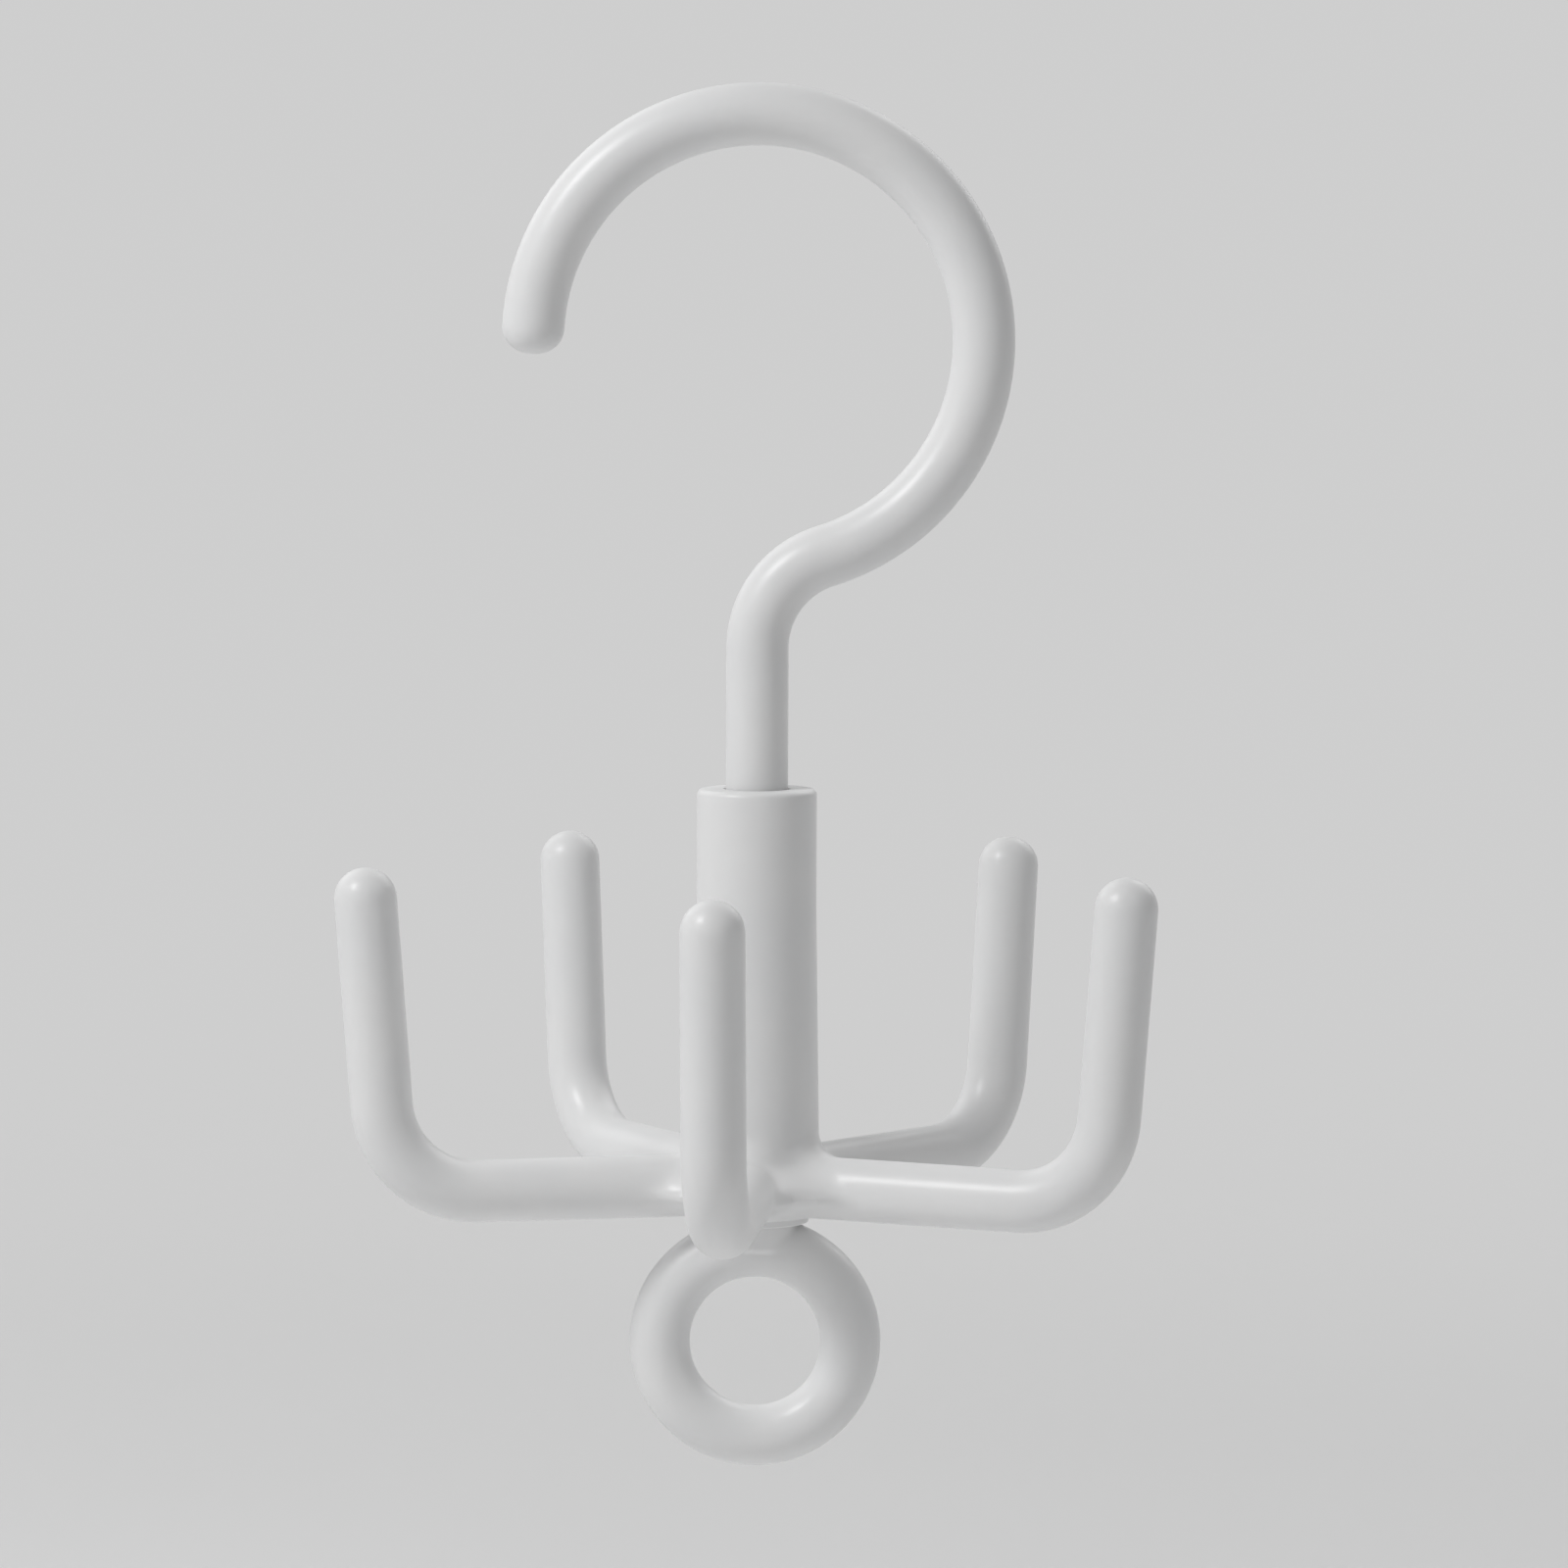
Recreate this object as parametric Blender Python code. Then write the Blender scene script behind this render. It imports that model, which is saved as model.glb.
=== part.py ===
"""Rotating closet hook: a bow that hangs on a closet rod and five claws that turn below it.

Metres, +Z up. The origin is the inside crown of the bow, the spot that sits on the closet rod,
and the swivel axis is the Z axis. The bow lies in the XZ plane and opens towards -X.
"""

import math

import bmesh
import bpy
from mathutils import Matrix, Vector

MM = 0.001

# Clearances
RUNNING_GAP = 0.3 * MM  # between pieces that turn past each other
SEAT_GAP = 0.3 * MM  # between pieces that are screwed or pushed together

# Bow and shank, one bent rod with a domed tip
ROD_DIAMETER = 8.3 * MM
BOW_RADIUS = 29.9 * MM  # to the rod's centre line
BOW_TIP_ANGLE = math.radians(176.3)  # where the dome starts, counted from +X about the bow's centre
NECK_BEND_RADIUS = 12.8 * MM  # the bend between bow and shank, to the centre line
SHANK_SHOWN_LENGTH = 18.8 * MM  # straight rod between the neck bend and the sleeve
TIP_DOME_HEIGHT = 3.8 * MM

# Lower end of the shank, inside the sleeve
SPIGOT_DIAMETER = 6.4 * MM  # the thinner end that passes the sleeve's web
SHANK_EDGE = 0.4 * MM  # chamfer of the shank's step and of the spigot's end
PILOT_DEPTH = 11.0 * MM  # screw hole in the spigot's end
PILOT_CONE_HEIGHT = 1.0 * MM

# Sleeve, the tube that turns on the shank
SLEEVE_LENGTH = 57.85 * MM
SLEEVE_WALL = 3.55 * MM  # round the upper bore
SLEEVE_TOP_ROUND = 0.6 * MM  # rounded outer edge of the sleeve's mouth
MOUTH_CHAMFER = 0.25 * MM
SLEEVE_STRAIGHT_LENGTH = 16.0 * MM  # below this the sleeve widens towards its foot
FOOT_WIDENING = 0.45 * MM  # on the radius
WEB_THICKNESS = 4.0 * MM  # the inner wall that hangs on the washer
BOSS_WALL = 1.2 * MM  # round the plug, at the sleeve's lower mouth
BOSS_DROP = 0.6 * MM  # how far the boss stands below the claws' undersides
BOSS_EDGE = 0.25 * MM
FOOT_ROUND = 0.9 * MM  # rounded lower rim of the sleeve's foot

# Claws
CLAW_COUNT = 5
CLAW_TURN = math.radians(6)  # the front claw's turn from -Y towards -X at rest
CLAW_DIAMETER = 8.3 * MM
CLAW_TIP_RADIUS = 52.65 * MM  # from the swivel axis to the centre of a tip's dome
CLAW_RISE = 39.2 * MM  # from the run's centre line up to the centre of the dome
CLAW_LEAN = math.radians(4.4)  # outward lean of the upright leg
CLAW_BEND_RADIUS = 12.8 * MM  # to the centre line
ROOT_FILLET_TOP = 3.8 * MM
ROOT_FILLET_SIDE = 2.6 * MM
ROOT_CAP_SHARE = 0.5  # of the chamber's radius: where a claw's root ends, inside the bore

# Ring with its plug
RING_RADIUS = 12.8 * MM  # to the centre line
RING_TUBE_DIAMETER = 8.1 * MM
RING_DROP = 16.55 * MM  # from the boss's face to the ring's centre
NECK_LENGTH = 3.9 * MM  # the cone between the plug and the ring
NECK_END_DIAMETER = 7.6 * MM
PLUG_LENGTH = 11.0 * MM
PLUG_WALL = 1.6 * MM
PLUG_FLOOR = 3.0 * MM  # solid below the plug's hollow
PLUG_EDGE = 0.6 * MM
BEAD_HEIGHT = 1.4 * MM  # snap bead round the plug
BEAD_PROUD = 0.45 * MM
BEAD_BELOW_TOP = 3.0 * MM  # from the plug's upper end to the bead's middle

# Washer and screw
WASHER_DIAMETER = 10.6 * MM
WASHER_THICKNESS = 1.0 * MM
WASHER_EDGE = 0.15 * MM
WASHER_SIDE_ROOM = 0.6 * MM  # between the washer's rim and the chamber's wall
SCREW_DIAMETER = 3.0 * MM
SCREW_LENGTH = 10.5 * MM  # below the head
SCREW_POINT_LENGTH = 1.6 * MM
SCREW_POINT_SHARE = 0.3  # of the screw's radius, at the blunt point
SCREW_HEAD_DIAMETER = 6.4 * MM
SCREW_HEAD_HEIGHT = 2.3 * MM
SCREW_HEAD_RIM = 0.9 * MM  # straight part of the pan head's side
RECESS_DEPTH = 1.3 * MM
RECESS_WIDTH = 0.9 * MM
RECESS_SPAN = 3.6 * MM
HEAD_ROOM = 1.0 * MM  # between the screw's head and the plug

# Fineness of the round forms
ROD_SIDES = 24
CLAW_SIDES = 22
TURNED_SIDES = 44
SMALL_TURNED_SIDES = 28
RING_STEPS = 44
RING_SIDES = 20
BOW_STEP = math.radians(9)
NECK_STEPS = 8
CLAW_BEND_STEPS = 8
DOME_STEPS = 4
ROOT_STEPS = 5
ROOT_LAST_ANGLE = math.radians(76)  # the fillet meets the sleeve just before it would be tangent
CLAW_PHASE = 0.3  # turns the claws' sections by part of a side, so that neighbours cross cleanly
EDGE_STEPS = 3
SMOOTH_ANGLE = math.radians(35)
CUT_OVERRUN = 2.0 * MM

# Worked out from the sizes above
ROD_RADIUS = ROD_DIAMETER / 2
SPIGOT_RADIUS = SPIGOT_DIAMETER / 2
BORE_RADIUS = ROD_RADIUS + RUNNING_GAP
SLEEVE_RADIUS = BORE_RADIUS + SLEEVE_WALL
FOOT_RADIUS = SLEEVE_RADIUS + FOOT_WIDENING
CLAW_RADIUS = CLAW_DIAMETER / 2
WEB_HOLE_RADIUS = SPIGOT_RADIUS + RUNNING_GAP
CHAMBER_RADIUS = WASHER_DIAMETER / 2 + WASHER_SIDE_ROOM
BOSS_RADIUS = CHAMBER_RADIUS + BOSS_WALL
PLUG_RADIUS = CHAMBER_RADIUS - SEAT_GAP
PILOT_RADIUS = SCREW_DIAMETER / 2 + SEAT_GAP

# Heights on the swivel axis, from the bow down to the ring
BOW_CENTRE_Z = -(BOW_RADIUS - ROD_RADIUS)
BEND_CENTRES_APART = BOW_RADIUS + NECK_BEND_RADIUS
NECK_BEND_Z = BOW_CENTRE_Z - math.sqrt(BEND_CENTRES_APART**2 - NECK_BEND_RADIUS**2)
SLEEVE_TOP_Z = NECK_BEND_Z - SHANK_SHOWN_LENGTH
HUB_BOTTOM_Z = SLEEVE_TOP_Z - SLEEVE_LENGTH
CLAW_RUN_Z = HUB_BOTTOM_Z + BOSS_DROP + CLAW_RADIUS
PLUG_TOP_Z = HUB_BOTTOM_Z + PLUG_LENGTH
HEAD_BOTTOM_Z = PLUG_TOP_Z + HEAD_ROOM
HEAD_TOP_Z = HEAD_BOTTOM_Z + SCREW_HEAD_HEIGHT
WASHER_BOTTOM_Z = HEAD_TOP_Z + SEAT_GAP
WASHER_TOP_Z = WASHER_BOTTOM_Z + WASHER_THICKNESS
WEB_BOTTOM_Z = WASHER_TOP_Z + SEAT_GAP
WEB_TOP_Z = WEB_BOTTOM_Z + WEB_THICKNESS
SHANK_STEP_Z = WEB_TOP_Z + RUNNING_GAP
BEAD_Z = PLUG_TOP_Z - BEAD_BELOW_TOP
RING_Z = HUB_BOTTOM_Z - RING_DROP

WHITE_PLASTIC = (0.80, 0.80, 0.79)
STEEL = (0.58, 0.58, 0.60)


def clear_scene():
    for thing in list(bpy.data.objects):
        bpy.data.objects.remove(thing)


def material(name, colour, roughness, metallic=0.0):
    mat = bpy.data.materials.new(name)
    mat.use_nodes = True
    shader = mat.node_tree.nodes["Principled BSDF"]
    shader.inputs["Base Color"].default_value = (*colour, 1.0)
    shader.inputs["Roughness"].default_value = roughness
    shader.inputs["Metallic"].default_value = metallic
    mat.diffuse_color = (*colour, 1.0)
    return mat


def loft(name, rings, origin=Vector()):
    """A closed body through rings of points; a ring of one point is a pole, and other ends get a flat cap."""
    bm = bmesh.new()
    loops = [[bm.verts.new(point - origin) for point in ring] for ring in rings]
    for loop, following in zip(loops, loops[1:]):
        count = max(len(loop), len(following))
        for i in range(count):
            j = (i + 1) % count
            corners = [loop[i % len(loop)], loop[j % len(loop)]]
            corners += [following[j % len(following)], following[i % len(following)]]
            bm.faces.new(dict.fromkeys(corners))
    for end in (loops[0], loops[-1]):
        if len(end) > 1:
            bm.faces.new(end)
    bmesh.ops.recalc_face_normals(bm, faces=bm.faces)
    mesh = bpy.data.meshes.new(name)
    bm.to_mesh(mesh)
    bm.free()
    mesh.shade_smooth()
    mesh.set_sharp_from_angle(angle=SMOOTH_ANGLE)
    body = bpy.data.objects.new(name, mesh)
    body.location = origin
    bpy.context.scene.collection.objects.link(body)
    return body


def turned(name, profile, sides, origin=Vector()):
    """A body turned about the Z axis from (radius, height) points; a radius of zero is a pole."""
    rings = []
    for radius, height in profile:
        if radius == 0:
            rings.append([Vector((0, 0, height))])
            continue
        angles = [math.tau * i / sides for i in range(sides)]
        rings.append([Vector((radius * math.cos(a), radius * math.sin(a), height)) for a in angles])
    return loft(name, rings, origin)


def rounded_corner(centre_radius, centre_height, size, start, end):
    """(radius, height) points along a quarter round."""
    angles = [start + (end - start) * i / EDGE_STEPS for i in range(EDGE_STEPS + 1)]
    return [(centre_radius + size * math.cos(a), centre_height + size * math.sin(a)) for a in angles]


def boolean(body, other, operation):
    """Joins or cuts body by other, which then only shows as a wire guide."""
    step = body.modifiers.new(operation.lower(), "BOOLEAN")
    step.operation = operation
    step.solver = "EXACT"
    step.object = other
    other.hide_render = True
    other.display_type = "WIRE"


def cross_ring(centre, along, radius, sides, phase=0):
    """A circle of points square to the direction along, for a rod that bends in the XZ plane."""
    side = Vector((0, 1, 0))
    up = along.cross(side).normalized()
    angles = [math.tau * (i + phase) / sides for i in range(sides)]
    return [centre + radius * (math.cos(a) * side + math.sin(a) * up) for a in angles]


def dome_rings(centre, along, radius, height, sides, phase=0):
    """Rings of a domed rod end, from its first smaller circle out to its pole."""
    rings = []
    for i in range(1, DOME_STEPS):
        angle = math.pi / 2 * i / DOME_STEPS
        point = centre + along * height * math.sin(angle)
        rings.append(cross_ring(point, along, radius * math.cos(angle), sides, phase))
    return rings + [[centre + along * height]]


def bow_angles(joint_angle):
    """Angles about the bow's centre, from the tip to the neck bend; the crown is one of them."""
    crown = math.pi / 2
    angles = []
    for start, end in ((BOW_TIP_ANGLE, crown), (crown, joint_angle)):
        steps = math.ceil((start - end) / BOW_STEP)
        angles += [start + (end - start) * i / steps for i in range(steps)]
    return angles + [joint_angle]


def bow_stations():
    """(point, direction) along the bow's centre line, from the tip over the crown to the neck bend."""
    joint_angle = -math.acos(NECK_BEND_RADIUS / BEND_CENTRES_APART)
    stations = []
    for a in bow_angles(joint_angle):
        point = Vector((BOW_RADIUS * math.cos(a), 0, BOW_CENTRE_Z + BOW_RADIUS * math.sin(a)))
        stations.append((point, Vector((math.sin(a), 0, -math.cos(a)))))
    for i in range(1, NECK_STEPS + 1):
        a = math.pi + joint_angle * (1 - i / NECK_STEPS)
        offset = Vector((math.cos(a), 0, math.sin(a))) * NECK_BEND_RADIUS
        point = Vector((NECK_BEND_RADIUS, 0, NECK_BEND_Z)) + offset
        stations.append((point, Vector((-math.sin(a), 0, math.cos(a)))))
    return stations


def shank_end_profile():
    """(radius, height) from the straight shank to the bottom of the screw hole."""
    pilot_top = WEB_BOTTOM_Z + PILOT_DEPTH
    return [
        (ROD_RADIUS, SHANK_STEP_Z + SHANK_EDGE),
        (ROD_RADIUS - SHANK_EDGE, SHANK_STEP_Z),
        (SPIGOT_RADIUS, SHANK_STEP_Z),
        (SPIGOT_RADIUS, WEB_BOTTOM_Z + SHANK_EDGE),
        (SPIGOT_RADIUS - SHANK_EDGE, WEB_BOTTOM_Z),
        (PILOT_RADIUS, WEB_BOTTOM_Z),
        (PILOT_RADIUS, pilot_top),
    ]


def make_top_hook(plastic):
    """The bent rod: tip dome, bow, neck bend, shank, spigot and screw hole, as one loft."""
    stations = bow_stations()
    tip, tip_along = stations[0]
    down = Vector((0, 0, -1))
    dome = dome_rings(tip, -tip_along, ROD_RADIUS, TIP_DOME_HEIGHT, ROD_SIDES)
    rings = [[ring[-i] for i in range(len(ring))] for ring in reversed(dome)]
    rings += [cross_ring(point, along, ROD_RADIUS, ROD_SIDES) for point, along in stations]
    for radius, height in shank_end_profile():
        rings.append(cross_ring(Vector((0, 0, height)), down, radius, ROD_SIDES))
    rings.append([Vector((0, 0, WEB_BOTTOM_Z + PILOT_DEPTH + PILOT_CONE_HEIGHT))])
    hook = loft("top_hook", rings)
    hook.data.materials.append(plastic)
    return hook


def root_fillet(angle):
    """Fillet radius round a claw's root: largest on top, none below, where the underside stays level."""
    height = math.sin(angle)
    if height < 0:
        return ROOT_FILLET_SIDE * (1 + height)
    return ROOT_FILLET_SIDE + (ROOT_FILLET_TOP - ROOT_FILLET_SIDE) * height


def root_ring(blend):
    """A ring of the root: blend is how far its fillet has turned from the claw towards the sleeve."""
    ring = []
    for i in range(CLAW_SIDES):
        angle = math.tau * (i + CLAW_PHASE) / CLAW_SIDES
        fillet = root_fillet(angle)
        reach = CLAW_RADIUS + fillet * (1 - math.cos(blend))
        side = reach * math.cos(angle)
        wall = math.sqrt(FOOT_RADIUS**2 - side**2)
        out = wall + fillet * (1 - math.sin(blend))
        ring.append(Vector((out, side, CLAW_RUN_Z + reach * math.sin(angle))))
    return ring


def root_rings():
    """A flat ring inside the bore, then saddle-shaped rings from the sleeve's wall to the round claw."""
    rings = [root_ring(ROOT_LAST_ANGLE * (1 - i / ROOT_STEPS)) for i in range(ROOT_STEPS + 1)]
    inner = [Vector((CHAMBER_RADIUS * ROOT_CAP_SHARE, point.y, point.z)) for point in rings[0]]
    return [inner] + rings


def claw_stations():
    """(point, direction) from the bend's start to the dome, for a claw along +X."""
    turn = math.pi / 2 - CLAW_LEAN
    leg = Vector((math.sin(CLAW_LEAN), 0, math.cos(CLAW_LEAN)))
    leg_length = (CLAW_RISE - CLAW_BEND_RADIUS * (1 - math.cos(turn))) / leg.z
    bend_start = CLAW_TIP_RADIUS - leg_length * leg.x - CLAW_BEND_RADIUS * math.sin(turn)
    stations = []
    for i in range(CLAW_BEND_STEPS + 1):
        a = turn * i / CLAW_BEND_STEPS
        out = bend_start + CLAW_BEND_RADIUS * math.sin(a)
        up = CLAW_RUN_Z + CLAW_BEND_RADIUS * (1 - math.cos(a))
        stations.append((Vector((out, 0, up)), Vector((math.cos(a), 0, math.sin(a)))))
    stations.append((stations[-1][0] + leg * leg_length, leg))
    return stations


def claw_rings():
    """All rings of a claw along +X, from inside the sleeve's wall to the tip."""
    stations = claw_stations()
    tip, along = stations[-1]
    rings = root_rings()
    rings += [cross_ring(point, line, CLAW_RADIUS, CLAW_SIDES, CLAW_PHASE) for point, line in stations]
    return rings + dome_rings(tip, along, CLAW_RADIUS, CLAW_RADIUS, CLAW_SIDES, CLAW_PHASE)


def sleeve_profile():
    """Outer form of the sleeve and hub as a solid, from the top down."""
    top_round = rounded_corner(
        SLEEVE_RADIUS - SLEEVE_TOP_ROUND, SLEEVE_TOP_Z - SLEEVE_TOP_ROUND, SLEEVE_TOP_ROUND, math.pi / 2, 0
    )
    foot_bottom = CLAW_RUN_Z - CLAW_RADIUS
    foot_round = rounded_corner(FOOT_RADIUS - FOOT_ROUND, foot_bottom + FOOT_ROUND, FOOT_ROUND, 0, -math.pi / 2)
    return [
        (0, SLEEVE_TOP_Z),
        *top_round,
        (SLEEVE_RADIUS, SLEEVE_TOP_Z - SLEEVE_STRAIGHT_LENGTH),
        (FOOT_RADIUS, CLAW_RUN_Z + CLAW_RADIUS + ROOT_FILLET_TOP),
        *foot_round,
        (BOSS_RADIUS, foot_bottom),
        (BOSS_RADIUS, HUB_BOTTOM_Z + BOSS_EDGE),
        (BOSS_RADIUS - BOSS_EDGE, HUB_BOTTOM_Z),
        (0, HUB_BOTTOM_Z),
    ]


def bore_profile():
    """Everything cut out of the sleeve along its axis: mouth, bore, web hole, chamber and bead groove."""
    groove = BEAD_HEIGHT / 2 + SEAT_GAP
    groove_radius = CHAMBER_RADIUS + BEAD_PROUD
    return [
        (0, SLEEVE_TOP_Z + CUT_OVERRUN),
        (BORE_RADIUS + MOUTH_CHAMFER, SLEEVE_TOP_Z + CUT_OVERRUN),
        (BORE_RADIUS + MOUTH_CHAMFER, SLEEVE_TOP_Z),
        (BORE_RADIUS, SLEEVE_TOP_Z - MOUTH_CHAMFER),
        (BORE_RADIUS, WEB_TOP_Z),
        (WEB_HOLE_RADIUS, WEB_TOP_Z),
        (WEB_HOLE_RADIUS, WEB_BOTTOM_Z),
        (CHAMBER_RADIUS, WEB_BOTTOM_Z),
        (CHAMBER_RADIUS, BEAD_Z + groove),
        (groove_radius, BEAD_Z),
        (CHAMBER_RADIUS, BEAD_Z - groove),
        (CHAMBER_RADIUS, HUB_BOTTOM_Z - CUT_OVERRUN),
        (0, HUB_BOTTOM_Z - CUT_OVERRUN),
    ]


def make_claw_body(plastic, origin):
    """Sleeve and claws, one moulding: the solid sleeve joined with each claw, then bored through."""
    body = turned("claw_body", sleeve_profile(), TURNED_SIDES, origin)
    claw = loft("claw_guide", claw_rings())
    for i in range(CLAW_COUNT):
        copy = claw if i == 0 else bpy.data.objects.new(f"claw_guide_{i}", claw.data)
        if i > 0:
            bpy.context.scene.collection.objects.link(copy)
        azimuth = -math.pi / 2 - CLAW_TURN + math.tau * i / CLAW_COUNT
        copy.matrix_world = Matrix.Rotation(azimuth, 4, "Z")
        boolean(body, copy, "UNION")
    bore = turned("bore_cutter", bore_profile(), TURNED_SIDES)
    boolean(body, bore, "DIFFERENCE")
    body.data.materials.append(plastic)
    return body


def plug_profile():
    """The plug with its snap bead and hollow, and the cone of the neck, from the hollow's floor round."""
    hollow_radius = PLUG_RADIUS - PLUG_WALL
    hollow_floor = HUB_BOTTOM_Z + PLUG_FLOOR
    bead_radius = PLUG_RADIUS + BEAD_PROUD
    neck_z = HUB_BOTTOM_Z - NECK_LENGTH
    return [
        (0, hollow_floor),
        (hollow_radius, hollow_floor),
        (hollow_radius, PLUG_TOP_Z),
        (PLUG_RADIUS - PLUG_EDGE, PLUG_TOP_Z),
        (PLUG_RADIUS, PLUG_TOP_Z - PLUG_EDGE),
        (PLUG_RADIUS, BEAD_Z + BEAD_HEIGHT / 2),
        (bead_radius, BEAD_Z),
        (PLUG_RADIUS, BEAD_Z - BEAD_HEIGHT / 2),
        (PLUG_RADIUS, HUB_BOTTOM_Z),
        (NECK_END_DIAMETER / 2, neck_z),
        (0, neck_z),
    ]


def ring_rings():
    """Cross sections of the ring, which faces along Y."""
    rings = []
    for i in range(RING_STEPS):
        a = math.tau * i / RING_STEPS
        spoke = Vector((math.cos(a), 0, math.sin(a)))
        centre = Vector((0, 0, RING_Z)) + spoke * RING_RADIUS
        along = Vector((-math.sin(a), 0, math.cos(a)))
        rings.append(cross_ring(centre, along, RING_TUBE_DIAMETER / 2, RING_SIDES))
    return rings


def torus(name, rings):
    """A closed ring through its cross sections."""
    bm = bmesh.new()
    loops = [[bm.verts.new(point) for point in ring] for ring in rings]
    for i, loop in enumerate(loops):
        following = loops[(i + 1) % len(loops)]
        for j in range(len(loop)):
            k = (j + 1) % len(loop)
            bm.faces.new((loop[j], loop[k], following[k], following[j]))
    bmesh.ops.recalc_face_normals(bm, faces=bm.faces)
    mesh = bpy.data.meshes.new(name)
    bm.to_mesh(mesh)
    bm.free()
    mesh.shade_smooth()
    body = bpy.data.objects.new(name, mesh)
    bpy.context.scene.collection.objects.link(body)
    return body


def make_ring_plug(plastic, origin):
    """The ring, its neck and the hollow plug that snaps into the sleeve's chamber."""
    plug = turned("ring_plug", plug_profile(), TURNED_SIDES, origin)
    boolean(plug, torus("ring_guide", ring_rings()), "UNION")
    plug.data.materials.append(plastic)
    return plug


def make_washer(steel):
    """Thrust washer: the web of the sleeve hangs on it."""
    outer = WASHER_DIAMETER / 2
    hole = SCREW_DIAMETER / 2 + SEAT_GAP
    profile = [
        (hole, WASHER_TOP_Z),
        (outer - WASHER_EDGE, WASHER_TOP_Z),
        (outer, WASHER_TOP_Z - WASHER_EDGE),
        (outer, WASHER_BOTTOM_Z + WASHER_EDGE),
        (outer - WASHER_EDGE, WASHER_BOTTOM_Z),
        (hole, WASHER_BOTTOM_Z),
    ]
    angles = [math.tau * i / SMALL_TURNED_SIDES for i in range(SMALL_TURNED_SIDES)]
    sections = [[Vector((r * math.cos(a), r * math.sin(a), z)) for r, z in profile] for a in angles]
    washer = torus("thrust_washer", sections)
    washer.data.set_sharp_from_angle(angle=SMOOTH_ANGLE)
    washer.data.materials.append(steel)
    return washer


def screw_profile():
    """Pan head below, shank up to its blunt point."""
    radius = SCREW_DIAMETER / 2
    head = SCREW_HEAD_DIAMETER / 2
    crown = SCREW_HEAD_HEIGHT - SCREW_HEAD_RIM
    point_z = HEAD_TOP_Z + SCREW_LENGTH
    corner = []
    for i in range(1, DOME_STEPS + 1):
        a = math.pi / 2 * i / (DOME_STEPS + 1)
        corner.append((head * math.sin(a), HEAD_BOTTOM_Z + crown * (1 - math.cos(a))))
    return [
        (0, HEAD_BOTTOM_Z),
        *corner,
        (head, HEAD_BOTTOM_Z + crown),
        (head, HEAD_TOP_Z),
        (radius, HEAD_TOP_Z),
        (radius, point_z - SCREW_POINT_LENGTH),
        (radius * SCREW_POINT_SHARE, point_z),
        (0, point_z),
    ]


def recess_bar(name, span, width):
    """One bar of the cross recess, from below the head up to the recess's floor."""
    low = HEAD_BOTTOM_Z - CUT_OVERRUN
    high = HEAD_BOTTOM_Z + RECESS_DEPTH
    corners = [(-span, -width), (span, -width), (span, width), (-span, width)]
    return loft(name, [[Vector((x / 2, y / 2, z)) for x, y in corners] for z in (low, high)])


def make_screw(steel):
    """Pan head screw that holds the washer against the shank's end."""
    screw = turned("retaining_screw", screw_profile(), SMALL_TURNED_SIDES)
    boolean(screw, recess_bar("recess_bar_x", RECESS_SPAN, RECESS_WIDTH), "DIFFERENCE")
    boolean(screw, recess_bar("recess_bar_y", RECESS_WIDTH, RECESS_SPAN), "DIFFERENCE")
    screw.data.materials.append(steel)
    return screw


def make_swivel(moving):
    """The empty on the swivel axis that the turning pieces hang on."""
    swivel = bpy.data.objects.new("swivel", None)
    swivel.location = (0, 0, SLEEVE_TOP_Z)
    bpy.context.scene.collection.objects.link(swivel)
    bpy.context.view_layer.update()
    for piece in moving:
        piece.parent = swivel
        piece.matrix_parent_inverse = swivel.matrix_world.inverted()
    return swivel


def main():
    clear_scene()
    hook_plastic = material("hook_plastic", WHITE_PLASTIC, 0.32)
    claw_plastic = material("claw_plastic", WHITE_PLASTIC, 0.34)
    ring_plastic = material("ring_plastic", WHITE_PLASTIC, 0.33)
    washer_steel = material("washer_steel", STEEL, 0.35, 1.0)
    screw_steel = material("screw_steel", STEEL, 0.28, 1.0)
    make_top_hook(hook_plastic)
    make_washer(washer_steel)
    make_screw(screw_steel)
    claws = make_claw_body(claw_plastic, Vector((0, 0, CLAW_RUN_Z)))
    ring = make_ring_plug(ring_plastic, Vector((0, 0, HUB_BOTTOM_Z)))
    make_swivel([claws, ring])


main()
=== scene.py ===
"""Looks of the rotating closet hook: fine plastic surfaces over the fixed frame, light and camera.

Metres, in the frame's own axes: +Z up, the origin at the bow's inside crown, the swivel axis is Z.
Sizes that the frame's boxes give are read from it; the rest are named below.
"""

import math

import bmesh
import bpy
import numpy as np
from mathutils import Matrix, Vector


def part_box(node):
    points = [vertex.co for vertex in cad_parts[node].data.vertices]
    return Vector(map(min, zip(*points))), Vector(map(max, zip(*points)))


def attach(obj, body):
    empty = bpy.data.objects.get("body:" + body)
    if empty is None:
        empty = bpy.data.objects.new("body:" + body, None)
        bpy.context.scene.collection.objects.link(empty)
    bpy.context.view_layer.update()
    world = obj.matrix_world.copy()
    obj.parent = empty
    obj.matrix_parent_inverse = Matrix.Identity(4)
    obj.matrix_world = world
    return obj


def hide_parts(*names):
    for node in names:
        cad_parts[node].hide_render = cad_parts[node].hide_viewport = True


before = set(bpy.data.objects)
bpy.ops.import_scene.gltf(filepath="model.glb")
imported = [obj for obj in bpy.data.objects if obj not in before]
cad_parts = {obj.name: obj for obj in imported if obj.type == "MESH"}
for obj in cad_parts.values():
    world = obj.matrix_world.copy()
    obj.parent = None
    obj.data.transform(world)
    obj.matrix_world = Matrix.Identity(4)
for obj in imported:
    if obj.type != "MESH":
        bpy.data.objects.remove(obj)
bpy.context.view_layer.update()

MM = 0.001

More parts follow.
